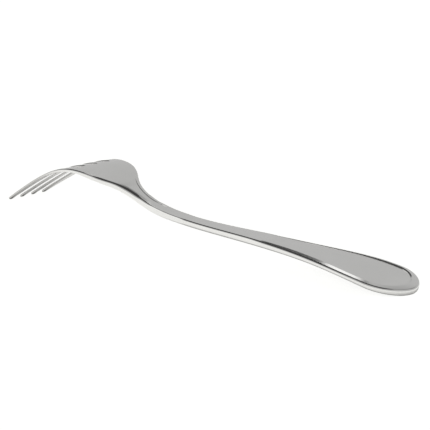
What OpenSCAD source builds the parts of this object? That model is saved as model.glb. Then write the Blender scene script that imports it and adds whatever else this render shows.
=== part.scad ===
// Dinner fork, stamped from one piece of stainless steel.
// It lies face down, as it would on a table: on its four tips and the end of the handle,
// with the back up. X runs from the tips to the end of the handle, Y across, Z up.
// The fork is drawn first as a flat blank, with s along it, y across it and d the depth
// under its back. Then press() bends the blank along its side profile.

/* [Tines] */
// Length of the tines along the blank, from the tips to the round roots of the slots
tine_length = 51.2; // [42:0.1:60]
// Distance between neighbouring tines at their tips
tip_pitch = 5.9; // [5.2:0.1:6.4]
// Distance between neighbouring slots at their roots
root_pitch = 6.5; // [5.8:0.1:7]
// Width of a tine at its tip
tip_width = 2; // [1.4:0.1:2.6]
// Width of an inner tine beside the roots of the slots
root_width = 3.3; // [2.6:0.1:4]
// Length over which the tip of a tine rounds off
tip_round = 1.2; // [0.6:0.1:2.4]
// Width of the blunt end left on each tip
tip_blunt = 0.7; // [0.4:0.1:1.2]
// Length of the first handle of the outline curve, which leaves the tips
tine_reach = 17.5; // [10:0.5:20]
// How far that handle leads outwards from the tips
tine_lean = 2; // [0:0.1:3]

/* [Bowl] */
// Width of the bowl where the slots end
bowl_width = 26; // [24:0.5:29]
// How far the widest place of the bowl lies in front of the roots of the slots
bowl_ahead = 1.5; // [0:0.5:6]
// Length of the last handle of the outline curve, which arrives at the widest place
bowl_round = 15; // [10:0.5:20]
// Length from the widest place of the bowl to the narrowest place of the neck
shoulder_length = 38; // [32:0.5:48]
// Fullness of the round shoulder, as the length of its curve's first handle
shoulder_round = 23.5; // [15:0.5:26]
// Fullness of the hollow flare into the neck, as the length of its curve's last handle
neck_flare = 24.5; // [15:0.5:28]
// How far the sides of the bowl drop below its middle
dish = 0.15; // [0:0.05:1.5]
// Length past the roots of the slots over which the sides stay dropped
dish_length = 14; // [6:0.5:18]
// Distance from the narrowest place of the neck forward to where they are level again
dish_fade = 4; // [0:0.5:8]

/* [Handle] */
// Width of the neck at its narrowest place
neck_width = 6; // [5:0.1:8]
// Length from the narrowest place of the neck to the widest place of the grip
grip_length = 105.5; // [85:0.5:125]
// Slimness of the handle, as the length of its curve's first handle
grip_slim = 76.5; // [40:0.5:80]
// Fullness of the grip, as the length of its curve's last handle
grip_round = 21.5; // [10:0.5:30]
// Width of the grip at its widest place
grip_width = 23; // [19:0.5:26]
// Length of the rounded end past the widest place of the grip
end_length = 12; // [9:0.5:18]
// Fullness of the rounded end, where 2 is an ellipse and more is squarer
end_fullness = 1.85; // [1.7:0.05:2.6]

/* [Border] */
// Width of the border on the shoulders
rim_shoulder = 2; // [1.2:0.1:2.4]
// Width of the border at the neck, where it fades out
rim_neck = 1; // [0.7:0.1:1.6]
// Width of the border at the sides of the grip
rim_grip = 1.7; // [1.4:0.1:3]
// Width of the border at the end of the handle
rim_end = 3; // [1.6:0.1:4]
// How steeply the border falls to its outer edge on the shoulders, in degrees
shoulder_slope = 6; // [0:0.5:12]
// How steeply it falls on the grip, in degrees
rim_slope = 12; // [0:0.5:16]
// Width of the fine groove between border and panel on the shoulders
shoulder_groove_width = 0.4; // [0.3:0.1:1]
// Width of the groove at the widest place of the grip
grip_groove_width = 1; // [0.6:0.1:2]
// Depth of the groove on the shoulders
shoulder_groove = 0.14; // [0.05:0.01:0.25]
// Depth of the groove at the widest place of the grip
grip_groove = 0.4; // [0.1:0.02:0.5]
// How much of the groove's depth is left at the panel, which lies below the border
panel_share = 0.9; // [0.3:0.1:1]
// How far the border reaches past the narrowest place of the neck onto the shoulders
rim_reach = 19; // [14:0.5:24]
// Length over which the border grows out of the shoulders
rim_growth = 6; // [2:0.5:10]
// Distance from the narrowest place of the neck forward to where the border starts to fade
rim_fade_at = 5; // [0:0.5:9]
// Length over which the border fades out at the neck
rim_fade = 12; // [6:0.5:20]
// Distance from the widest place of the grip forward to where the border starts again
rim_return_at = 55; // [40:1:70]
// Length over which the border then gets its full slope
rim_return = 9; // [4:0.5:20]
// Distance from the widest place of the grip forward to where the border is fully wide
rim_wide_at = 30; // [10:1:50]

/* [Edges] */
// Width of the rounded edges
ease = 0.5; // [0.1:0.05:0.55]
// Width of the broader rounding along the sides of the bowl
bowl_ease = 1.3; // [0.5:0.05:1.6]
// Depth of that broader rounding
bowl_ease_depth = 0.65; // [0.3:0.05:0.7]
// Width of the crisper edge where the shoulders run into the neck
neck_ease = 0.2; // [0.1:0.05:0.45]
// Length over which one width of edge changes into the next
ease_blend = 4; // [2:0.5:8]
// Distance from the roots of the slots back to where the broader rounding starts
bowl_ease_start = 10; // [6:0.5:16]
// Distance from the narrowest place of the neck forward to where it ends
bowl_ease_end = 9; // [6:0.5:16]
// Distance from the narrowest place of the neck forward to where the crisper edge starts
neck_ease_start = 2; // [0:0.5:6]
// Distance from the narrowest place of the neck back to where it ends
neck_ease_end = 15; // [8:0.5:24]

/* [Thickness] */
// Thickness of the tines at the tips
tip_thickness = 1.15; // [0.9:0.05:1.6]
// Thickness of the bowl at the roots of the slots
bowl_thickness = 1.4; // [1.1:0.05:2]
// Height of the side wall where the shoulders meet the neck
shoulder_wall = 2.75; // [1.8:0.05:3.2]
// Height of the side wall along the neck
neck_wall = 2.1; // [1.6:0.1:3]
// Height of the side wall where the handle widens into the grip
grip_wall = 2.25; // [1.4:0.05:2.8]
// Height of the side wall at the widest place of the grip
heel_wall = 1.9; // [1:0.1:2.4]
// Height of the wall at the end of the handle
end_wall = 2.4; // [1.2:0.1:2.8]
// How far the round front of the neck stands out past its side walls
neck_crown = 1; // [0.4:0.1:1.6]
// How far the round front of the grip stands out past its side walls
grip_crown = 0.8; // [0.2:0.1:1.4]
// Distance from the narrowest place of the neck forward to the highest side wall
shoulder_wall_at = 10; // [4:0.5:16]
// Distance from the narrowest place of the neck back to where the neck's wall holds
neck_wall_at = 16; // [6:0.5:24]
// Distance from the widest place of the grip forward to where the grip's wall holds
grip_wall_at = 44; // [30:1:54]
// Distance from the widest place of the grip forward to the lowest wall
heel_wall_at = 8; // [4:0.5:20]
// Distance from the widest place of the grip forward to where its round front holds
grip_crown_at = 25; // [10:1:40]

/* [Side profile] */
// Slope of the tines at the tips, in degrees
tip_slope = 29.7; // [22:0.1:36]
// Slope of the tines at mid length, in degrees
tine_slope = 21; // [14:0.5:28]
// Slope at the steepest place behind the bowl, in degrees
bowl_slope = -24.7; // [-32:0.1:-18]
// Slope where the neck runs out into the handle, in degrees
neck_slope = -5.6; // [-10:0.1:0]
// Slope of the handle at its flattest, in degrees
handle_slope = -2.2; // [-6:0.1:2]
// Slope of the end of the handle, in degrees
end_slope = -12.2; // [-18:0.1:-6]
// Distance from the roots of the slots forward to where the tine slope holds
tine_run = 14.5; // [8:0.5:20]
// Distance from the narrowest place of the neck forward to the steepest fall
fall_run = 15.5; // [10:0.5:20]
// Distance from the narrowest place of the neck back to where the neck slope holds
neck_run = 12; // [6:0.5:20]
// Distance from the widest place of the grip forward to where the handle slope holds
handle_run = 28; // [18:1:40]

/* [Hidden] */

steel = [0.74, 0.74, 0.73];
tiny = 0.001;

// Places along the blank
widest_s = tine_length - bowl_ahead;      // the widest place of the bowl
neck_s = widest_s + shoulder_length;      // the narrowest place of the neck
grip_s = neck_s + grip_length;            // the widest place of the grip
total_s = grip_s + end_length;            // the end of the blank
root_gap = (root_pitch - root_width) / 2; // radius of the round slot root
root_s = tine_length - root_gap;          // centre of that round root
past_roots = tine_length + ease;          // the slots' eased edges end here
rim_start = neck_s - rim_reach;           // the border grows out of the shoulders here
rim_fades = neck_s - rim_fade_at;         // it starts to fade out here
rim_returns = grip_s - rim_return_at;     // and comes back here
rim_wide = grip_s - rim_wide_at;          // it has its full width here
dish_full = tine_length + dish_length;    // the sides of the bowl stay dropped up to here
dish_end = neck_s - dish_fade;            // and are level again here
tip_half = 1.5 * tip_pitch + tip_width / 2;

// How many steps each stretch of the blank takes
tip_steps = 3;
tine_steps = 16;
root_steps = 6;
edge_steps = 40;
bowl_steps = 22;
grip_steps = 34;
end_steps = 14;
profile_step = 0.5;

function mix(a, b, t) = a + (b - a) * t;
function clamp(t) = min(1, max(0, t));
function smooth(t) = let (u = clamp(t)) u * u * (3 - 2 * u);
function bezier(a, b, c, d, t) =
    a * pow(1 - t, 3) + 3 * b * t * pow(1 - t, 2) + 3 * c * t * t * (1 - t) + d * t * t * t;

// A smooth curve through a few [s, value] pairs
function knot_slope(k, i) =
    let (last = len(k) - 1)
    i == 0 ? (k[1][1] - k[0][1]) / (k[1][0] - k[0][0]) :
    i == last ? (k[last][1] - k[last - 1][1]) / (k[last][0] - k[last - 1][0]) :
    ((k[i][1] - k[i - 1][1]) / (k[i][0] - k[i - 1][0])
        + (k[i + 1][1] - k[i][1]) / (k[i + 1][0] - k[i][0])) / 2;
function knot_before(k, s) =
    max([for (i = [0:len(k) - 2]) if (i == 0 || k[i][0] <= s) i]);
function along(k, s) =
    let (
        i = knot_before(k, s),
        span = k[i + 1][0] - k[i][0],
        t = clamp((s - k[i][0]) / span)
    )
    k[i][1] * (2 * t * t * t - 3 * t * t + 1)
        + k[i + 1][1] * (3 * t * t - 2 * t * t * t)
        + knot_slope(k, i) * span * (t * t * t - 2 * t * t + t)
        + knot_slope(k, i + 1) * span * (t * t * t - t * t);

// Plan outline of the blank: three curves and a rounded end, each as [s, half width]
tine_edge = [for (i = [0:edge_steps]) let (t = i / edge_steps)
    [bezier(0, tine_reach, widest_s - bowl_round, widest_s, t),
     bezier(tip_half, tip_half + tine_lean, bowl_width / 2, bowl_width / 2, t)]];
shoulder_edge = [for (i = [1:bowl_steps]) let (t = i / bowl_steps)
    [bezier(widest_s, widest_s + shoulder_round, neck_s - neck_flare, neck_s, t),
     bezier(bowl_width / 2, bowl_width / 2, neck_width / 2, neck_width / 2, t)]];
grip_edge = [for (i = [1:grip_steps]) let (t = i / grip_steps)
    [bezier(neck_s, neck_s + grip_slim, grip_s - grip_round, grip_s, t),
     bezier(neck_width / 2, neck_width / 2, grip_width / 2, grip_width / 2, t)]];
side_edge = concat(tine_edge, shoulder_edge, grip_edge);

// Half width of the outline
function half_width(s) =
    s <= grip_s ? lookup(s, side_edge) :
    s >= total_s - tiny ? 0 :
    grip_width / 2 * pow(1 - pow((s - grip_s) / end_length, end_fullness), 1 / end_fullness);

// Stations along the blank, with one at every place where a feature starts or ends
function steps(a, b, n) = [for (i = [0:n - 1]) mix(a, b, i / n)];
stations = concat(
    [for (i = [0:tip_steps - 1]) tip_round * (1 - cos(90 * i / tip_steps))],
    steps(tip_round, root_s, tine_steps),
    [for (i = [0:root_steps]) root_s + root_gap * sin(90 * i / root_steps)],
    [past_roots],
    [for (p = shoulder_edge) if (p[0] > past_roots + ease) p[0]],
    [for (p = grip_edge) p[0]]);
apex = tip_steps + tine_steps + root_steps; // the station at the slot roots

// Widths of slots and border
function slot_pitch(s) = mix(tip_pitch, root_pitch, clamp(s / tine_length));
function tine_width(s) = mix(tip_width, root_width, clamp(s / tine_length));
function tip_share(s) = s >= tip_round ? 1 :
    mix(tip_blunt / tip_width, 1, sqrt(1 - pow(1 - s / tip_round, 2)));
function slot_half(s) =
    s <= root_s ? (slot_pitch(s) - tine_width(s)) / 2 :
    s >= tine_length - tiny ? 0 : sqrt(root_gap * root_gap - pow(s - root_s, 2));
function slot_eased(s) =
    s <= root_s ? slot_half(s) + ease :
    sqrt(pow(root_gap + ease, 2) - pow(min(s, tine_length) - root_s, 2));
rims = [[rim_start, rim_shoulder], [rim_fades, rim_shoulder], [rim_fades + rim_fade, rim_neck],
    [rim_returns, rim_neck], [rim_wide, rim_grip], [grip_s, rim_grip]];
function rim_at(s) = along(rims, max(s, rim_start));
function between(s, a, b) = smooth((s - a) / ease_blend) * (1 - smooth((s - b) / ease_blend));
function bowl_share(s) = between(s, tine_length + bowl_ease_start, neck_s - bowl_ease_end);
function neck_share(s) = between(s, neck_s - neck_ease_start, neck_s + neck_ease_end);
function edge_width(s) = mix(mix(ease, bowl_ease, bowl_share(s)), neck_ease, neck_share(s));
function edge_depth(s) = mix(mix(ease, bowl_ease_depth, bowl_share(s)), neck_ease, neck_share(s));
function grip_reach(s) = clamp((s - rim_returns) / rim_return_at);
function groove_width(s) = mix(shoulder_groove_width, grip_groove_width, grip_reach(s));

// The ten columns of half a section, from the outer edge to the middle line.
// Along the tines they are the edges and middles of two tines; along the handle
// they are the edge, the border, its step and the panel.
function tine_columns(s) =
    let (
        w = half_width(s),
        p = slot_pitch(s),
        h = slot_half(s),
        e = slot_eased(s),
        outer = (w + p + h) / 2,
        inner = p / 2,
        k = tip_share(s)
    )
    [outer + k * (w - outer),
     outer + k * (w - edge_width(s) - outer),
     outer,
     outer - k * (outer - p - e),
     outer - k * (outer - p - h),
     inner + k * (p - h - inner),
     inner + k * (p - e - inner),
     inner,
     inner - k * (inner - e),
     inner - k * (inner - h)];
function handle_columns(s) =
    let (w = half_width(s), border = w - rim_at(s), panel = border - groove_width(s))
    [w, w - edge_width(s), border, (border + panel) / 2, panel,
     each [for (k = [4:-1:0]) panel * k / 4]];
function columns(s) =
    s <= tine_length ? tine_columns(s) :
    mix(tine_columns(s), handle_columns(s), smooth((s - tine_length) / (rim_start - tine_length)));

// Depth of the back under the plane of the blank, for the ten columns
function shoulder_share(s) =
    smooth((s - rim_start) / rim_growth) * (1 - smooth((s - rim_fades) / rim_fade));
function grip_share(s) = smooth((s - rim_returns) / rim_return);
function groove_at(s) =
    shoulder_groove * shoulder_share(s) + grip_groove * grip_reach(s);
function border_fall(s, side) = (rim_at(s) - side)
    * (shoulder_share(s) * tan(shoulder_slope) + grip_share(s) * tan(rim_slope));
function back_depths(s) =
    let (edge = edge_depth(s), g = groove_at(s), m = g * panel_share)
    s < past_roots - tiny ? [edge, 0, 0, 0, ease, ease, 0, 0, 0, ease] :
    [border_fall(s, 0) + edge, border_fall(s, edge_width(s)), 0, g, m, m, m, m, m, m];

// Depth of the front: the wall, and the crown that bulges past it
walls = [[0, tip_thickness], [tine_length, bowl_thickness],
    [neck_s - shoulder_wall_at, shoulder_wall], [neck_s + neck_wall_at, neck_wall],
    [grip_s - grip_wall_at, grip_wall], [grip_s - heel_wall_at, heel_wall],
    [total_s, end_wall]];
crowns = [[0, 0], [tine_length, 0], [neck_s, neck_crown], [grip_s - grip_crown_at, grip_crown],
    [total_s, grip_crown / 2]];
function crown_at(s) =
    along(crowns, s) * (s > grip_s ? 1 - pow((s - grip_s) / end_length, 2) : 1);
function front_depth(s, y, edge) =
    along(walls, s) + (edge > 0 ? -edge : crown_at(s) * (1 - pow(y / half_width(s), 2)));
function front_edge(s, i) =
    i == 0 ? edge_depth(s) : s < past_roots - tiny && (i == 4 || i == 5 || i == 9) ? ease : 0;

// The side profile of the pressed fork, as the slope at a few stations
slopes = [[0, tip_slope], [tine_length - tine_run, tine_slope],
    [neck_s - fall_run, bowl_slope], [neck_s + neck_run, neck_slope],
    [grip_s - handle_run, handle_slope], [total_s, end_slope]];
profile_count = ceil(total_s / profile_step) + 1;
profile_x = [for (i = 0, x = 0; i <= profile_count;
    x = x + profile_step * cos(along(slopes, (i + 0.5) * profile_step)), i = i + 1)
    [i * profile_step, x]];
profile_z = [for (i = 0, z = 0; i <= profile_count;
    z = z + profile_step * sin(along(slopes, (i + 0.5) * profile_step)), i = i + 1)
    [i * profile_step, z]];
dishes = [[0, 0], [tine_length, dish], [dish_full, dish], [dish_end, 0]];
function dish_at(s, y) = s > dish_end ? 0 : along(dishes, s) * pow(y / half_width(s), 2);
function press(s, y, d) =
    let (a = along(slopes, s), depth = d + dish_at(s, y))
    [lookup(s, profile_x) + depth * sin(a), y, lookup(s, profile_z) - depth * cos(a)];

// Half a section as ten [s, y, back, front] columns. Straight sections cross the blank up to
// the widest place of the grip; from there a fan of sections turns round the end.
function cross_section(s) =
    let (y = columns(s), back = back_depths(s))
    [for (i = [0:9]) [s, y[i], back[i], front_depth(s, y[i], front_edge(s, i))]];
function end_point(turn, side, tail, k) =
    [grip_s + k * (end_length - tail) * pow(sin(turn), 2 / end_fullness),
     k * (grip_width / 2 - side) * pow(cos(turn), 2 / end_fullness)];
function end_section(turn) =
    let (
        half_groove = grip_groove_width / 2,
        side = rim_grip + grip_groove_width,
        tail = rim_end + grip_groove_width,
        places = [
            end_point(turn, 0, 0, 1),
            end_point(turn, ease, ease, 1),
            end_point(turn, rim_grip, rim_end, 1),
            end_point(turn, rim_grip + half_groove, rim_end + half_groove, 1),
            end_point(turn, side, tail, 1),
            each [for (k = [4:-1:0]) end_point(turn, side, tail, k / 4)]],
        back = back_depths(grip_s)
    )
    [for (i = [0:9]) let (s = places[i][0], y = places[i][1])
        [s, y, back[i], front_depth(s, y, i == 0 ? ease : 0)]];

// A ring round a section: the back from left to right, then the front from right to left.
// At the tips it also thins towards the middle of its thickness.
function thinned(s, d) = mix(along(walls, s) / 2, d, tip_share(s));
function around(half) = concat(
    [for (c = half) press(c[0], -c[1], thinned(c[0], c[2]))],
    [for (i = [9:-1:0]) press(half[i][0], half[i][1], thinned(half[i][0], half[i][2]))],
    [for (c = half) press(c[0], c[1], thinned(c[0], c[3]))],
    [for (i = [9:-1:0]) press(half[i][0], -half[i][1], thinned(half[i][0], half[i][3]))]);
sections = concat(
    [for (s = stations) around(cross_section(s))],
    [for (i = [1:end_steps]) around(end_section(90 * i / end_steps))]);
pressed = [for (section = sections) each section];

// Lay the fork down: turned about the tips until the handle touches the table too
front = [20:29]; // one half of the front in each ring, from the side to the middle line
tips_under = [for (i = [0:tip_steps]) for (c = front) sections[i][c]];
handle_under = [for (i = [apex + bowl_steps:len(sections) - 1]) for (c = front) sections[i][c]];
lay = max([for (p = tips_under) min([for (h = handle_under) atan2(h[2] - p[2], h[0] - p[0])])]);
laid = [for (p = pressed)
    [p[0] * cos(lay) + p[2] * sin(lay), p[1], p[2] * cos(lay) - p[0] * sin(lay)]];
low_x = min([for (p = laid) p[0]]);
high_x = max([for (p = laid) p[0]]);
low_z = min([for (p = laid) p[2]]);
points = [for (p = laid) [p[0] - (low_x + high_x) / 2, p[1], p[2] - low_z]];

// Faces between neighbouring sections
ring = 40;
function quad(i, a, b) = [i * ring + a, i * ring + b, (i + 1) * ring + b, (i + 1) * ring + a];
function tine_faces(i) = [for (t = [0:3]) each concat(
    [for (c = [0:3]) quad(i, 5 * t + c, 5 * t + c + 1)],
    [quad(i, 5 * t + 4, ring - 5 - 5 * t)],
    [for (c = [0:3]) quad(i, ring - 5 - 5 * t + c, ring - 4 - 5 * t + c)],
    [quad(i, ring - 1 - 5 * t, 5 * t)])];
function body_faces(i) = concat(
    [for (c = [0:18]) if (c % 5 != 4) quad(i, c, c + 1)],
    [quad(i, 19, 20)],
    [for (c = [20:38]) if (c % 5 != 4) quad(i, c, c + 1)],
    [quad(i, 39, 0)]);
tip_caps = [for (t = [0:3]) concat(
    [for (c = [4:-1:0]) 5 * t + c],
    [for (c = [4:-1:0]) ring - 5 - 5 * t + c])];
faces = concat(
    tip_caps,
    [for (i = [0:len(sections) - 2]) each i < apex ? tine_faces(i) : body_faces(i)]);

module fork() {
    color(steel)
    polyhedron(points = points, faces = faces, convexity = 10);
}

fork();
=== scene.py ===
# %% [markdown]
# # A stainless dinner fork, seen from its back
#
# A fork like this starts as a flat piece of steel. It is cut to its outline, its slots are
# punched, its border is coined, and at last it is pressed into its side profile and polished.
# This script follows the same order. It opens the measured frame, draws the flat blank,
# presses it with Geometry Nodes, and then gives it a polished finish, a table and light.

from math import atan2, cos, degrees, pi, radians, sin, sqrt, tan

import bpy
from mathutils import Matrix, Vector


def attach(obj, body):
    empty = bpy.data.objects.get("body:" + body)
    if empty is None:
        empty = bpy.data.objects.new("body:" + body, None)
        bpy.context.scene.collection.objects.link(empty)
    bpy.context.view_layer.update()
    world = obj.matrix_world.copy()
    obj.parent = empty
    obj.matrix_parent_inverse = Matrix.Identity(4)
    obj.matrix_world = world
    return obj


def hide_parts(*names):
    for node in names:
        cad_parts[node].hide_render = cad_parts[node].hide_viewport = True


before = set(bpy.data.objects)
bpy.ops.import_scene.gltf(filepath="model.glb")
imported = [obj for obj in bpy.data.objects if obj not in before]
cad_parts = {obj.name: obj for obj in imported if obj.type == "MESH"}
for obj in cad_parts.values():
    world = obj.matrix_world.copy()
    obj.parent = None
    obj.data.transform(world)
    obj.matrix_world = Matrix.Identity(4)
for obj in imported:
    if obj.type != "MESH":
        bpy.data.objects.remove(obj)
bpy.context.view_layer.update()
MM = 0.001

# %% [markdown]
# ## The camera
#
# The photo looks at the fork from the side of its handle, a little above the table, through
# a long lens. The angles, the distance and the lens below put the outline of the fork where
# the photo has it. Blender wants a focal length in millimetres of sensor, so the focal length
# in pixels is scaled by the sensor's width over the picture's width.

# %% Place the camera
PICTURE = 430
TURN, RISE, ROLL = 42.970, 14.768, -0.307
DISTANCE = 397.4 * MM
AIM = Vector((13.23, 0.0, 11.07)) * MM
FOCAL = 1089.0
CENTRE = (215.33, 214.35)
SENSOR = 36
NEAREST = 0.01


def direction(turn, rise):
    """Unit vector that points from the fork to a place turn degrees round and rise degrees up."""
    t, r = radians(turn), radians(rise)
    return Vector((sin(t) * cos(r), -cos(t) * cos(r), sin(r)))


camera = bpy.data.objects.new("camera", bpy.data.cameras.new("camera"))
bpy.context.scene.collection.objects.link(camera)
bpy.context.scene.camera = camera
towards = direction(TURN, RISE)
camera.location = AIM + towards * DISTANCE
right = (-towards).cross(Vector((0, 0, 1))).normalized()
up = right.cross(-towards)
roll = radians(ROLL)
right, up = right * cos(roll) + up * sin(roll), up * cos(roll) - right * sin(roll)
turned = camera.matrix_world.to_3x3()
for row in range(3):
    turned[row] = (right[row], up[row], towards[row])
camera.rotation_euler = turned.to_euler()
camera.data.sensor_width = SENSOR
camera.data.lens = FOCAL / PICTURE * SENSOR
camera.data.shift_x = (PICTURE / 2 - CENTRE[0]) / PICTURE
camera.data.shift_y = (CENTRE[1] - PICTURE / 2) / PICTURE
camera.data.clip_start = NEAREST
bpy.context.scene.view_settings.view_transform = "Standard"
print("lens", round(camera.data.lens, 1), "mm, camera at", *[round(v, 3) for v in camera.location])

# %% [markdown]
# ## Sizes of the blank
#
# These are the sizes of the fork as it was measured, in millimetres. Places along the blank
# are counted from the tips of the tines. A few sizes change along the fork, such as the
# height of its side wall, and those are lists of a place and a value. Only the tines are a
# little slimmer here than in the measured fork, as the photo shows them, and the difference
# lies on their hidden front.

# %% Write down the sizes
tine_length, tip_pitch, root_pitch = 51.2, 5.9, 6.5
tip_width, root_width, tip_round, tip_blunt = 2.0, 3.3, 1.2, 0.7
bowl_ahead, shoulder_length, grip_length = 1.5, 38.0, 105.5
bowl_width, neck_width, grip_width = 26.0, 6.0, 23.0
end_length, end_fullness = 12.0, 1.85
tine_reach, tine_lean, bowl_round = 17.5, 2, 15
shoulder_round, neck_flare, grip_slim, grip_round = 23.5, 24.5, 76.5, 21.5
rim_shoulder, rim_neck, rim_grip, rim_end = 2.0, 1.0, 1.7, 3.0
rim_reach, rim_growth, rim_fade_at, rim_fade = 19, 6, 5, 12
rim_return_at, rim_return, rim_wide_at = 55, 9, 30
shoulder_slope, rim_slope = 6, 12
groove_widths, shoulder_groove, grip_groove, panel_share = (0.4, 1.0), 0.14, 0.4, 0.9
ease, bowl_ease, bowl_ease_depth, neck_ease, ease_blend = 0.5, 1.3, 0.65, 0.2, 4
bowl_ease_start, bowl_ease_end, neck_ease_start, neck_ease_end = 10, 9, 2, 15
dish, dish_length, dish_fade = 0.15, 14, 4
slim_ease, slim_end, slim_fade = 0.65, 32, 14

widest = tine_length - bowl_ahead
neck = widest + shoulder_length
grip = neck + grip_length
total = grip + end_length
rim_start, rim_fades, rim_returns = neck - rim_reach, neck - rim_fade_at, grip - rim_return_at
root_gap = (root_pitch - root_width) / 2
root = tine_length - root_gap
tip_half = 1.5 * tip_pitch + tip_width / 2

walls = [(0, 1.0), (14, 0.88), (slim_end, 0.85), (tine_length - 4, 1.38), (tine_length, 1.4),
         (neck - 10, 2.75), (neck + 16, 2.1), (grip - 44, 2.25), (grip - 8, 1.9), (total, 2.4)]
crowns = [(0, 0), (tine_length, 0), (neck, 1.0), (grip - 25, 0.8), (total, 0.4)]
rims = [(rim_start, rim_shoulder), (rim_fades, rim_shoulder), (rim_fades + rim_fade, rim_neck),
        (rim_returns, rim_neck), (grip - rim_wide_at, rim_grip), (grip, rim_grip)]
dishes = [(0, 0), (tine_length, dish), (tine_length + dish_length, dish), (neck - dish_fade, 0)]
slopes = [(0, 29.7), (tine_length - 14.5, 21), (neck - 15.5, -24.7), (neck + 12, -5.6),
          (grip - 28, -2.2), (total, -12.2)]
print("the flat blank is", round(total, 1), "mm long and its neck is at", round(neck, 1))

# %% [markdown]
# ## Smooth changes
#
# A toolmaker draws the outline with a few long curves, and lets each size run smoothly from
# one place to the next. Two small helpers do the same: a curve with four control values, and
# a smooth line through a list of places and values.

# %% Helpers for smooth changes
def mix(a, b, t):
    return a + (b - a) * t


def smooth(t):
    t = min(1, max(0, t))
    return t * t * (3 - 2 * t)


def bezier(a, b, c, d, t):
    return a * (1 - t)**3 + 3 * b * t * (1 - t)**2 + 3 * c * t * t * (1 - t) + d * t**3


def along(knots, s):
    """Value at place s on a smooth line through the knots."""
    places = [k[0] for k in knots]
    values = [k[1] for k in knots]
    last = len(knots) - 1
    i = max([k for k in range(last) if places[k] <= s] or [0])

    def lean(k):
        steps = [(values[j + 1] - values[j]) / (places[j + 1] - places[j])
                 for j in (k - 1, k) if 0 <= j < last]
        return sum(steps) / len(steps)

    span = places[i + 1] - places[i]
    t = min(1, max(0, (s - places[i]) / span))
    return (values[i] * (2 * t**3 - 3 * t * t + 1) + values[i + 1] * (3 * t * t - 2 * t**3)
            + lean(i) * span * (t**3 - 2 * t * t + t) + lean(i + 1) * span * (t**3 - t * t))


print("side wall at the neck:", round(along(walls, neck), 2), "mm")

# %% [markdown]
# ## The outline
#
# Three curves make the side of the blank: the tines and bowl, the shoulder that flows into
# the neck, and the long handle. The end is rounded, a little leaner than an ellipse. The
# border and the panel follow the same outline, drawn in by their own distance.

# %% The outline
def side_curve(places, widths, steps):
    return [(bezier(*places, i / steps), bezier(*widths, i / steps)) for i in range(steps + 1)]


short_curve, long_curve = 200, 300
outline = side_curve((0, tine_reach, widest - bowl_round, widest),
                     (tip_half, tip_half + tine_lean, bowl_width / 2, bowl_width / 2), short_curve)
outline += side_curve((widest, widest + shoulder_round, neck - neck_flare, neck),
                      (bowl_width / 2, bowl_width / 2, neck_width / 2, neck_width / 2), short_curve)[1:]
outline += side_curve((neck, neck + grip_slim, grip - grip_round, grip),
                      (neck_width / 2, neck_width / 2, grip_width / 2, grip_width / 2), long_curve)[1:]


def half_width(s):
    if s > grip:
        reach = min(1, (s - grip) / end_length)
        return grip_width / 2 * (1 - reach**end_fullness)**(1 / end_fullness)
    low, high = 0, len(outline) - 1
    while high - low > 1:
        middle = (low + high) // 2
        low, high = (middle, high) if outline[middle][0] <= s else (low, middle)
    (s0, w0), (s1, w1) = outline[low], outline[high]
    return mix(w0, w1, (s - s0) / (s1 - s0))


print("half widths at bowl, neck and grip:",
      *[round(half_width(s), 2) for s in (widest, neck, grip)])

# %% [markdown]
# ## Places where the blank is cut across
#
# The blank is described by many sections across it. They stand close together where the shape
# turns quickly, at the tips and round the slot roots. From the widest place of the grip a fan
# of sections turns round the end, so that border, step and panel keep clean rows of faces.

# %% Choose the sections
def spread(a, b, n):
    return [mix(a, b, i / n) for i in range(n)]


tip_steps, tine_steps, root_steps, eased_steps = 7, 56, 12, 5
bowl_steps, grip_steps, end_steps = 60, 120, 48
stations = [tip_round * (1 - cos(pi / 2 * i / tip_steps)) for i in range(tip_steps)]
stations += spread(tip_round, root, tine_steps)
stations += [root + root_gap * sin(pi / 2 * i / root_steps) for i in range(root_steps)]
apex = len(stations)
stations += [tine_length + ease * (1 - cos(pi / 2 * i / eased_steps)) for i in range(eased_steps)]
stations += spread(tine_length + ease, neck, bowl_steps)
stations += spread(neck, grip, grip_steps) + [grip]
fan = [90 * (i + 1) / end_steps for i in range(end_steps)]
print(len(stations), "straight sections and", len(fan), "in the fan; slots close at section", apex)

# %% [markdown]
# ## Rounded edges
#
# A punched blank has sharp edges, and buffing rounds them. They are broad along the bowl and
# crisp at the neck. A Bevel modifier could round them all alike, but here their size changes
# along the fork, so each section gets its own columns of points on the rounding. Where it
# meets the flat, two columns stand close together, so that the shine of the flat stays flat.

# %% Round the edges
# Where the columns of a rounded edge stand, as shares of its width. The last is on the flat.
SHARES = [1 - cos(pi / 2 * i / 4) for i in range(5)] + [1.2]
ROUND = len(SHARES)
TINY = 1e-6


def between(s, a, b):
    """Rises smoothly from 0 to 1 just past a, and falls back to 0 just past b."""
    return smooth((s - a) / ease_blend) * (1 - smooth((s - b) / ease_blend))


def edge_size(s, along_bowl):
    """Size of the rounded edge, which is broader along the bowl and crisper at the neck."""
    size = mix(ease, along_bowl, between(s, tine_length + bowl_ease_start, neck - bowl_ease_end))
    return mix(size, neck_ease, between(s, neck - neck_ease_start, neck + neck_ease_end))


def edge_width(s):
    return edge_size(s, bowl_ease)


def edge_depth(s):
    return edge_size(s, bowl_ease_depth)


def grip_reach(s):
    """How far s lies along the stretch where the border of the grip grows."""
    return min(1, max(0, (s - rim_returns) / (grip - rim_returns)))


def edge_drop(share, depth=ease):
    """How far the rounded edge lies under the flat, at a share of its width."""
    return depth * (1 - sqrt(max(0.0, 1 - (1 - min(share, 1))**2)))


print("edges at tines, bowl and neck:",
      *[round(edge_width(s), 2) for s in (0, neck - shoulder_length / 2, neck + ease_blend)])

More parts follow.
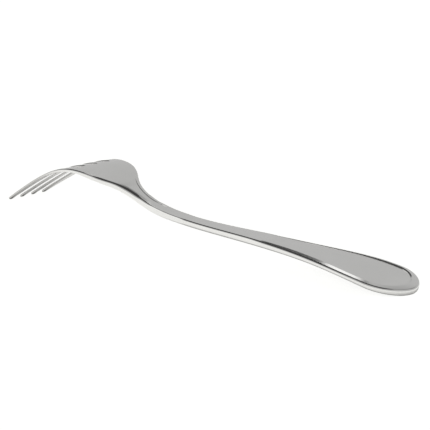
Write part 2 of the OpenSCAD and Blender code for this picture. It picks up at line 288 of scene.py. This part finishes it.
# %% [markdown]
# ## Columns along the tines
#
# Half a section has twenty-six columns. Along the tines they are two tines of thirteen columns:
# a rounded edge, the flat, and the other rounded edge. The slots are punched with round ends,
# so near its root a slot's columns follow a circle. Near its tip a tine draws in to a small
# blunt end.

# %% Slots and tines
def slot_half(s):
    """Half the width of a slot."""
    if s <= root:
        share = s / tine_length
        return (mix(tip_pitch, root_pitch, share) - mix(tip_width, root_width, share)) / 2
    return sqrt(max(0.0, root_gap**2 - (s - root)**2)) if s < tine_length - TINY else 0.0


def tip_share(s):
    """How much of its full width a tine has near its tip."""
    if s >= tip_round:
        return 1.0
    return mix(tip_blunt / tip_width, 1, sqrt(1 - (1 - s / tip_round)**2))


def slot_edges(s):
    """Distances from a slot's middle line of the columns that round its edge."""
    if s <= root:
        return [slot_half(s) + ease * m for m in SHARES]
    past = min(s, tine_length) - root
    return [sqrt(max(0.0, (root_gap + ease * m)**2 - past**2)) for m in SHARES]


def tine_columns(s):
    w, pitch = half_width(s), mix(tip_pitch, root_pitch, min(1, s / tine_length))
    rounds = slot_edges(s)
    outer = (w + pitch + rounds[0]) / 2
    k = tip_share(s)
    y = [outer + k * (w - edge_width(s) * m - outer) for m in SHARES] + [outer]
    y += [outer + k * (pitch + r - outer) for r in rounds[::-1]]
    y += [pitch / 2 + k * (pitch - r - pitch / 2) for r in rounds] + [pitch / 2]
    y += [pitch / 2 + k * (r - pitch / 2) for r in rounds[::-1]]
    return y


print("columns along the tines:", len(tine_columns(slim_end)))

# %% [markdown]
# ## Columns along the handle
#
# Past the slots the same columns move over to become the edge, the sloping border, the small
# step and the sunk panel. They could be cut into a smooth handle with a Boolean modifier, but
# then the faces would no longer run along it, and the long shines on the steel would break.

# %% Border, step and panel
# Where the columns stand on the border and on its step, as shares of their widths going in,
# and on the panel, as shares of the way out from the middle line.
BORDER = (0.3, 0.6, 0.85, 0.97)
STEP = (0.0, 0.12, 0.25, 0.38, 0.5, 0.6, 0.73, 0.87, 1.0)
INNER = (0.98, 0.85, 0.68, 0.51, 0.34, 0.17, 0.0)
TINE = 2 * ROUND + 1
HALF = ROUND + len(BORDER) + len(STEP) + len(INNER)


def rim_at(s):
    """Width of the border."""
    return along(rims, min(max(s, rim_start), grip))


def border_rows(s):
    """Distance in from the side for each column from the edge to the panel."""
    width, rim, groove = edge_width(s), rim_at(s), mix(*groove_widths, grip_reach(s))
    rows = [width * m for m in SHARES]
    rows += [mix(rows[-1], rim, m) for m in BORDER]
    return rows + [rim + groove * m for m in STEP]


def handle_columns(s):
    w = half_width(s)
    y = [w - side for side in border_rows(s)]
    return y + [y[-1] * k for k in INNER]


assert HALF == 2 * TINE
print("columns along the handle:", len(handle_columns(neck)))

# %% [markdown]
# ## Heights on the back and on the front
#
# The border slopes down to its outer edge, and the step lets the panel lie a little lower
# than the border. Both fade out at the neck and come back along the handle. On the hidden
# front the side wall ends in a rounded edge, and past it the neck and the handle bulge in a
# low crown.

# %% Depths of back and front
def shoulder_share(s):
    """How far the border of the shoulders has grown."""
    return smooth((s - rim_start) / rim_growth) * (1 - smooth((s - rim_fades) / rim_fade))


def back_depths(s):
    """Depth of the back under the plane of the blank, for each column."""
    if s < tine_length + ease - TINY:
        past = max(0, s - tine_length)
        slim = mix(slim_ease, 1, smooth((s - slim_end) / slim_fade))
        slot = [edge_drop(m, ease * slim) for m in SHARES]
        if past > 0:
            slot = [edge_drop((sqrt((root_gap + ease * m)**2 - root_gap**2 + (root_gap + past)**2)
                               - root_gap) / ease) for m in SHARES]
        outer = [edge_drop(m, edge_depth(s) * slim) for m in SHARES]
        return outer + [0] + slot[::-1] + slot + [0] + slot[::-1]
    slope = (shoulder_share(s) * tan(radians(shoulder_slope))
             + smooth((s - rim_returns) / rim_return) * tan(radians(rim_slope)))
    deep = shoulder_groove * shoulder_share(s) + grip_groove * grip_reach(s)
    rows, rim = border_rows(s), rim_at(s)
    depths = [slope * (rim - side) for side in rows[:-len(STEP)]]
    for i, share in enumerate(SHARES):
        depths[i] += edge_drop(share, edge_depth(s))
    panel = deep * panel_share
    depths += [mix(deep * smooth(2 * m), panel, smooth(2 * m - 1)) for m in STEP]
    return depths + [panel] * len(INNER)


def crown_at(s):
    """How far the middle of the front bulges out past the side walls."""
    fall = 1 - ((s - grip) / end_length)**2 if s > grip else 1
    return along(crowns, s) * fall


def front_depth(s, y, edge):
    """Depth of the front, where edge is how far a rounded edge lifts it."""
    w = half_width(s)
    bulge = crown_at(s) * (1 - (y / w)**2) if w > TINY else 0
    return along(walls, s) + bulge - edge


def front_edges(s):
    """Lift of the rounded edges for each column of the front."""
    if s < tine_length + ease - TINY:
        return back_depths(s)
    return [edge_drop(m, edge_depth(s)) for m in SHARES] + [0] * (HALF - ROUND)


print("wall and crown at the grip:", round(along(walls, grip), 2), round(crown_at(grip), 2))

# %% [markdown]
# ## Sections of the blank
#
# Half a section lists its columns with the depths of back and front, and the other half is
# its mirror image. A straight section crosses the blank. In the fan a section turns round the
# end, where the border grows wider from the sides of the grip to its tail.

# %% Draw half a section
def cross_section(s):
    """Half a straight section, as places (s, y) and depths of back and front."""
    columns = tine_columns(s)
    if s > tine_length:
        share = smooth((s - tine_length) / (rim_start - tine_length))
        columns = [mix(a, b, share) for a, b in zip(columns, handle_columns(s))]
    return [(s, y, back, front_depth(s, y, edge))
            for y, back, edge in zip(columns, back_depths(s), front_edges(s))]


def end_section(turn):
    """Half a section of the fan round the end."""
    power = 2 / end_fullness
    x, y = sin(radians(turn))**power, max(0, cos(radians(turn)))**power
    sides = border_rows(grip) + [rim_grip + groove_widths[1]] * len(INNER)
    tails = [side if side < ease else mix(ease, rim_end, (side - ease) / (rim_grip - ease))
             if side < rim_grip else side + rim_end - rim_grip for side in sides]
    scales = [1] * (HALF - len(INNER)) + list(INNER)
    half = []
    backs, fronts = back_depths(grip), front_edges(grip)
    for side, tail, k, back, edge in zip(sides, tails, scales, backs, fronts):
        place = (grip + k * (end_length - tail) * x, k * (grip_width / 2 - side) * y)
        half.append((*place, back, front_depth(*place, edge)))
    return half


sections = [cross_section(s) for s in stations] + [end_section(turn) for turn in fan]
print(len(sections), "half sections of", len(sections[0]), "columns")

# %% [markdown]
# ## The flat blank as a mesh
#
# Each half section becomes a ring of points, and rows of faces join the rings. Before the
# slots close, each of the four tines has its own ring of faces. After that one ring goes round
# the whole section. The blank lies flat: X runs along it, Y across it, and the back is near
# Z = 0 with the front below.

# %% Build the flat blank
RING = 4 * HALF


def dish_at(s, y):
    """How far the sides of the bowl drop below its middle."""
    return along(dishes, s) * (y / half_width(s))**2 if s < neck - dish_fade else 0.0


def around(half):
    """A ring round a section: the back from side to side, then the front the other way."""
    ring = [(s, -y, back) for s, y, back, front in half]
    ring += [(s, y, back) for s, y, back, front in half[::-1]]
    ring += [(s, y, front) for s, y, back, front in half]
    ring += [(s, -y, front) for s, y, back, front in half[::-1]]
    ring = [(s, y, mix(along(walls, s) / 2, d, tip_share(s)) + dish_at(s, y)) for s, y, d in ring]
    return [(s * MM, y * MM, -d * MM) for s, y, d in ring]


def ring_faces(i, open_tines):
    """Faces between section i and the next one."""
    gap = TINE if open_tines else HALF
    pairs = [(c, c + 1) for c in range(2 * HALF - 1) if c % gap != gap - 1]
    pairs += [(c, c + 1) for c in range(2 * HALF, RING - 1) if c % gap != gap - 1]
    if open_tines:
        pairs += [(TINE * t + TINE - 1, RING - TINE - TINE * t) for t in range(4)]
        pairs += [(RING - 1 - TINE * t, TINE * t) for t in range(4)]
    else:
        pairs += [(2 * HALF - 1, 2 * HALF), (RING - 1, 0)]
    return [(i * RING + a, i * RING + b, (i + 1) * RING + b, (i + 1) * RING + a) for a, b in pairs]


points = [p for half in sections for p in around(half)]
faces = [tuple([TINE * t + c for c in range(TINE - 1, -1, -1)]
               + [RING - TINE - TINE * t + c for c in range(TINE - 1, -1, -1)])
         for t in range(4)]
for i in range(len(sections) - 1):
    faces += ring_faces(i, i < apex)
flat = bpy.data.meshes.new("flat_blank")
flat.from_pydata(points, [], faces)
blank = bpy.data.objects.new("blank", flat)
bpy.context.scene.collection.objects.link(blank)
print("the flat blank has", len(points), "points and", len(faces), "faces")

# %% [markdown]
# ## Pressing the blank
#
# A press bends the flat blank between two dies. Their shape is one line, the fork's side
# profile. Here that line is a curve whose length is the same as the blank's. Geometry Nodes
# walks along it: each point of the blank is carried to the same distance along the curve, and
# its depth under the back is measured square to the curve. Because the bend follows a path,
# one small tree shapes the whole fork, and a new profile needs no other change.

# %% Draw the side profile
def profile_points(step):
    x = z = 0.0
    line = [(0.0, 0.0, 0.0)]
    for i in range(int(total / step) + 2):
        angle = radians(along(slopes, (i + 0.5) * step))
        x, z = x + step * cos(angle), z + step * sin(angle)
        line.append((x * MM, 0.0, z * MM))
    return line


PROFILE_STEP = 0.25
line = profile_points(PROFILE_STEP)
profile_data = bpy.data.curves.new("side_profile", "CURVE")
profile_data.dimensions = "3D"
spline = profile_data.splines.new("POLY")
spline.points.add(len(line) - 1)
for point, place in zip(spline.points, line):
    point.co = (*place, 1.0)
profile = bpy.data.objects.new("side_profile", profile_data)
bpy.context.scene.collection.objects.link(profile)
print("the profile rises to", round(max(p[2] for p in line) / MM, 1), "mm")

# %% [markdown]
# ## Sums in a node tree
#
# A node tree can be drawn by hand, box by box and line by line. In a script it reads better
# as sums. One small class adds nodes and links what they read. The other stands for a number
# in the tree, so that writing 1 - mask adds the Math node that works it out.

# %% A small helper for building node trees
class Tree:
    """Adds nodes to a tree and links what they read."""

    def __init__(self, tree):
        self.tree = tree

    def add(self, kind, inputs=None, **settings):
        """A new node: its settings first, then a value or a link for each input it reads."""
        node = self.tree.nodes.new(kind)
        for name, value in settings.items():
            setattr(node, name, value)
        for name, value in (inputs or {}).items():
            value = value.socket if isinstance(value, Socket) else value
            if isinstance(value, bpy.types.NodeSocket):
                self.tree.links.new(value, node.inputs[name])
            else:
                node.inputs[name].default_value = value
        return node

    def out(self, kind, output, inputs=None, **settings):
        """The same, and returns one output ready for sums."""
        return Socket(self, self.add(kind, inputs, **settings).outputs[output])


class Socket:
    """A number in a node tree. Sums written with it add their Math nodes."""

    def __init__(self, tree, socket):
        self.tree, self.socket = tree, socket

    def math(self, operation, *others):
        values = dict(enumerate((self, *others)))
        return self.tree.out("ShaderNodeMath", 0, values, operation=operation)

    def __add__(self, other):
        return self.math("ADD", other)

    def __sub__(self, other):
        return self.math("SUBTRACT", other)

    def __rsub__(self, other):
        return (self * -1.0).math("ADD", other)

    def __mul__(self, other):
        return self.math("MULTIPLY", other)

    __radd__ = __add__
    __rmul__ = __mul__

    def step_up(self, low, high):
        """0 below low, 1 above high and smooth between."""
        return self.tree.out("ShaderNodeMapRange", 0, {0: self, 1: low, 2: high},
                             interpolation_type="SMOOTHSTEP")


print("helpers for node trees are ready")

# %% [markdown]
# ## The press as a tree
#
# The tree has three named inputs: the blank, the profile and the finish. For each point it
# finds the place on the curve and the curve's heading there, and sets the depth off square to
# that heading. The points could be moved in Python too, but the tree keeps the bend apart from
# the blank, so that either can change alone.

# %% Build the press
press = bpy.data.node_groups.new("press", "GeometryNodeTree")
for name, kind in (("Blank", "Geometry"), ("Profile", "Object"), ("Finish", "Material")):
    press.interface.new_socket(name, in_out="INPUT", socket_type="NodeSocket" + kind)
press.interface.new_socket("Fork", in_out="OUTPUT", socket_type="NodeSocketGeometry")
t = Tree(press)
given = t.add("NodeGroupInput")
where = t.add("ShaderNodeSeparateXYZ", {0: t.add("GeometryNodeInputPosition").outputs[0]})
die = t.add("GeometryNodeObjectInfo", {"Object": given.outputs["Profile"]})
walk = t.add("GeometryNodeSampleCurve",
             {"Curves": die.outputs["Geometry"], "Length": where.outputs["X"]},
             mode="LENGTH", use_all_curves=True)
heading = t.add("ShaderNodeSeparateXYZ", {0: walk.outputs["Tangent"]})
height = Socket(t, where.outputs["Z"])
offset = t.add("ShaderNodeCombineXYZ", {
    "X": -1.0 * height * Socket(t, heading.outputs["Z"]),
    "Y": where.outputs["Y"],
    "Z": height * Socket(t, heading.outputs["X"])})
place = t.add("ShaderNodeVectorMath", {0: walk.outputs["Position"], 1: offset.outputs[0]},
              operation="ADD")
bent = t.add("GeometryNodeSetPosition",
             {"Geometry": given.outputs["Blank"], "Position": place.outputs[0]})
whole = t.add("GeometryNodeRealizeInstances", {"Geometry": bent.outputs[0]})
dressed = t.add("GeometryNodeSetMaterial",
                {"Geometry": whole.outputs[0], "Material": given.outputs["Finish"]})
t.add("NodeGroupOutput", {"Fork": dressed.outputs[0]})
print("the press has", len(press.nodes), "nodes")

# %% [markdown]
# ## Polished stainless steel
#
# A new fork is buffed along its length. What is left is a bright grey metal with very fine
# hairlines that run from the tips to the handle's end, and a little haze that varies from
# place to place. The wheel reaches badly in between the tines, so there the shine is softer.
# The tines' colour is also painted a darker grey, which is painted shade. A metal shows its
# colour only as a tint on what it reflects, so the two greys of the body lie close together,
# and most of the work is in how rough it is and in the small bumps. Noise stretched along the
# fork makes the hairlines at any size, which a picture of scratches would not.

# %% Make the steel
steel = bpy.data.materials.new("polished_steel")
steel.use_nodes = True
t = Tree(steel.node_tree)
shader = steel.node_tree.nodes["Principled BSDF"]
place = t.add("ShaderNodeTexCoord").outputs["Object"]
# Waves to a metre of the hairlines along, across and up, of the haze and of the fine spots
HAIRS, HAZE, SPOTS = (40, 2200, 2200), 90.0, 1500.0
drawn = t.add("ShaderNodeMapping", {"Vector": place, "Scale": HAIRS}).outputs[0]
hairlines = t.out("ShaderNodeTexNoise", "Fac",
                  {"Vector": drawn, "Scale": 1.0, "Detail": 3.0, "Roughness": 0.6})
haze = t.out("ShaderNodeTexNoise", "Fac",
             {"Vector": place, "Scale": HAZE, "Detail": 4.0, "Roughness": 0.55})
spots = t.out("ShaderNodeTexNoise", "Fac", {"Vector": place, "Scale": SPOTS, "Detail": 2.0})
deep_grey, pale_grey = (0.765, 0.760, 0.745, 1), (0.795, 0.790, 0.775, 1)
# The darker tine grey is painted shade: it darkens the base colour along the tines.
tine_painted_shade_grey = (0.59, 0.585, 0.57, 1)
haze_low, haze_high = 0.3, 0.7
tint = t.add("ShaderNodeMix", {"Factor": haze.step_up(haze_low, haze_high)}, data_type="RGBA")
tint.inputs["A"].default_value = deep_grey
tint.inputs["B"].default_value = pale_grey
shader.inputs["Metallic"].default_value = 1.0
length = Socket(t, t.add("ShaderNodeSeparateXYZ", {0: place}).outputs["X"])
shade_and_dull_up_to, unshaded_bright_from = -80 * MM, -56 * MM
tines = 1 - length.step_up(shade_and_dull_up_to, unshaded_bright_from)
# Painted shade: along the tines the base colour goes over to the darker tine grey.
painted_tine_shade = t.add("ShaderNodeMix", {"Factor": tines}, data_type="RGBA")
painted_tine_shade.inputs["B"].default_value = tine_painted_shade_grey
steel.node_tree.links.new(tint.outputs["Result"], painted_tine_shade.inputs["A"])
steel.node_tree.links.new(painted_tine_shade.outputs["Result"], shader.inputs["Base Color"])
smoothest, from_haze, from_hairs, from_spots, on_tines = 0.07, 0.04, 0.04, 0.02, 0.2
rough = smoothest + from_haze * haze + from_hairs * hairlines + from_spots * spots + on_tines * tines
steel.node_tree.links.new(rough.socket, shader.inputs["Roughness"])
hair_strength, hair_depth = 0.05, 0.00002
bump = t.add("ShaderNodeBump",
             {"Height": hairlines, "Strength": hair_strength, "Distance": hair_depth})
steel.node_tree.links.new(bump.outputs[0], shader.inputs["Normal"])
print("the steel has", len(steel.node_tree.nodes), "nodes")

# %% [markdown]
# ## From blank to fork
#
# The tree is run once on the blank and its result kept as a plain mesh, so that nothing live
# is left on the piece. Its inputs are set by the identifiers of their sockets, before the
# blank is first evaluated.

# %% Press the fork
modifier = blank.modifiers.new("press", "NODES")
modifier.node_group = press
sockets = {item.name: item.identifier
           for item in press.interface.items_tree if item.in_out == "INPUT"}
modifier[sockets["Profile"]] = profile
modifier[sockets["Finish"]] = steel
bpy.context.view_layer.update()
graph = bpy.context.evaluated_depsgraph_get()
mesh = bpy.data.meshes.new_from_object(blank.evaluated_get(graph), depsgraph=graph)
mesh.name = "fork_body"
blank.modifiers.remove(modifier)
bpy.data.objects.remove(blank)
bpy.data.objects.remove(profile)
print("pressed:", len(mesh.vertices), "points,", len(mesh.materials), "material")

# %% [markdown]
# ## Laying the fork down
#
# The press leaves the tips at the start of the axes. On the table the fork turns about its
# tips until the end of the handle touches too. The mesh is turned by that angle, set on the
# table and centred, as the measured fork is. Points that lie on each other are merged, and
# the faces are shaded smooth, because a buffed surface shows no facets.

# %% Lay it on the table
import bmesh
from mathutils import Matrix

tips_end, same_place, no_length = 3 * MM, 0.002 * MM, 0.001 * MM
tips = [v.co for v in mesh.vertices if v.co.x < tips_end]
heel = [v.co for v in mesh.vertices if v.co.x > neck * MM]
lay = max(min(atan2(h.z - p.z, h.x - p.x) for h in heel) for p in tips)
mesh.transform(Matrix.Rotation(lay, 4, "Y"))
low = [min(v.co[i] for v in mesh.vertices) for i in range(3)]
high = [max(v.co[i] for v in mesh.vertices) for i in range(3)]
mesh.transform(Matrix.Translation((-(low[0] + high[0]) / 2, 0, -low[2])))
work = bmesh.new()
work.from_mesh(mesh)
bmesh.ops.remove_doubles(work, verts=work.verts, dist=same_place)
bmesh.ops.dissolve_degenerate(work, edges=work.edges, dist=no_length)
open_edges = [e for e in work.edges if not e.is_manifold]
volume = work.calc_volume(signed=True)
if volume < 0:
    bmesh.ops.reverse_faces(work, faces=work.faces)
work.to_mesh(mesh)
work.free()
mesh.shade_smooth()
fork = bpy.data.objects.new("fork_body", mesh)
bpy.context.scene.collection.objects.link(fork)
print("turned by", round(degrees(lay), 2), "degrees; open edges", len(open_edges),
      "; volume", round(abs(volume) / MM**3), "mm3; size", [round(d / MM, 2) for d in fork.dimensions])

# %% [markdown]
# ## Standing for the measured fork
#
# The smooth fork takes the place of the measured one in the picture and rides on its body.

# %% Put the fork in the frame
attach(fork, "root")
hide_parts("fork")
print("the smooth fork stands for the measured one")

# %% [markdown]
# ## The table
#
# Bright metal looks like what stands around it, and the side walls of the fork show the table.
# It is pale and plain. More light on it would also fall on the fork, so its own paint gives
# the white that is seen by eye and in the metal, and it still takes the fork's soft shadow.
# Close under the fork the metal sees less of that white, as it would with a real table in the
# fork's own shade: Ambient Occlusion tells how open the place above the table is.

# %% The table
table_mesh = bpy.data.meshes.new("table")
reach = 6.0
corners = [(-reach, -reach, 0), (reach, -reach, 0), (reach, reach, 0), (-reach, reach, 0)]
table_mesh.from_pydata(corners, [], [(0, 1, 2, 3)])
table = bpy.data.objects.new("table", table_mesh)
bpy.context.scene.collection.objects.link(table)
paint = bpy.data.materials.new("table_white")
paint.use_nodes = True
paint.node_tree.nodes.clear()
t = Tree(paint.node_tree)
ray = t.add("ShaderNodeLightPath")
by_eye, in_metal, in_glass = [Socket(t, ray.outputs["Is " + kind + " Ray"])
                              for kind in ("Camera", "Glossy", "Transmission")]
shade_reach, shade_power, glow_strength = 11 * MM, 2.0, 0.88
paint_grey, glow_white = (0.5, 0.5, 0.5, 1), (1, 1, 0.985, 1)
open_sky = t.out("ShaderNodeAmbientOcclusion", "AO", {"Distance": shade_reach}, samples=8)
in_metal = in_metal * open_sky.math("POWER", shade_power)
seen = (by_eye + in_metal + in_glass).math("MINIMUM", 1.0)
matt = t.add("ShaderNodeBsdfDiffuse", {"Color": paint_grey})
glow = t.add("ShaderNodeEmission", {"Color": glow_white, "Strength": seen * glow_strength})
both = t.add("ShaderNodeAddShader", {0: matt.outputs[0], 1: glow.outputs[0]})
t.add("ShaderNodeOutputMaterial", {"Surface": both.outputs[0]})
table_mesh.materials.append(paint)
print("table", 2 * reach, "m wide")

# %% [markdown]
# ## The light around the fork
#
# The photo looks as if it was taken in a pale tent. Cards and lamps could stand round the fork
# as objects, but the world itself can be painted by direction, and then nothing stands in the
# way of another view. The back of the fork shows a grey wall, whose edge slants across the view. Past
# that edge is a dark gap, which draws the dark line along the sloping border, and in the gap a
# small lamp draws the white streak. One side of the wall is dimmer. Seen by eye the world is
# white, as the photo's background is.

# %% The light around the fork
world = bpy.data.worlds.new("tent")
bpy.context.scene.world = world
world.use_nodes = True
world.node_tree.nodes.clear()
t = Tree(world.node_tree)
axes = t.add("ShaderNodeSeparateXYZ", {0: t.add("ShaderNodeTexCoord").outputs["Generated"]})
right, far, high = [Socket(t, axes.outputs[axis]) for axis in "XYZ"]
# How steeply the wall's edge leans each way, and where each thing starts and is full
lean_right, lean_far, lean_down = 0.465, 0.797, 0.386
wall_edge = (-0.032, -0.012)
gap_low, gap_right, gap_near = (0.32, 0.42), (0.45, 0.6), (-0.75, -0.35)
lamp_left, lamp_right, lamp_low = (-0.555, -0.545), (-0.42, -0.38), (0.50, 0.53)
lamp_near, lamp_far = (0.38, 0.44), (0.62, 0.66)
dim_left, dim_right, dim_low = (-0.28, -0.12), (0.1, 0.3), (0.45, 0.65)
slant = lean_right * right + lean_far * far - lean_down * high
wall = slant.step_up(*wall_edge)
gap = high.step_up(*gap_low) * (1 - wall) * (1 - right.step_up(*gap_right)) * far.step_up(*gap_near)
lamp = right.step_up(*lamp_left) * (1 - right.step_up(*lamp_right)) * far.step_up(*lamp_near)
lamp = lamp * (1 - far.step_up(*lamp_far)) * high.step_up(*lamp_low) * (1 - wall)
dim = right.step_up(*dim_left) * (1 - right.step_up(*dim_right)) * high.step_up(*dim_low) * wall
wall_light, gap_loss, dim_loss, lamp_gain = 0.56, 0.50, 0.35, 1.3
light = wall_light - gap_loss * gap - dim_loss * dim + lamp_gain * lamp
by_eye = Socket(t, t.add("ShaderNodeLightPath").outputs["Is Camera Ray"])
light = light + by_eye * (1 - light)
t.add("ShaderNodeOutputWorld", {
    "Surface": t.add("ShaderNodeBackground", {"Color": (1, 1, 1, 1), "Strength": light}).outputs[0]})
print("the world has", len(world.node_tree.nodes), "nodes")
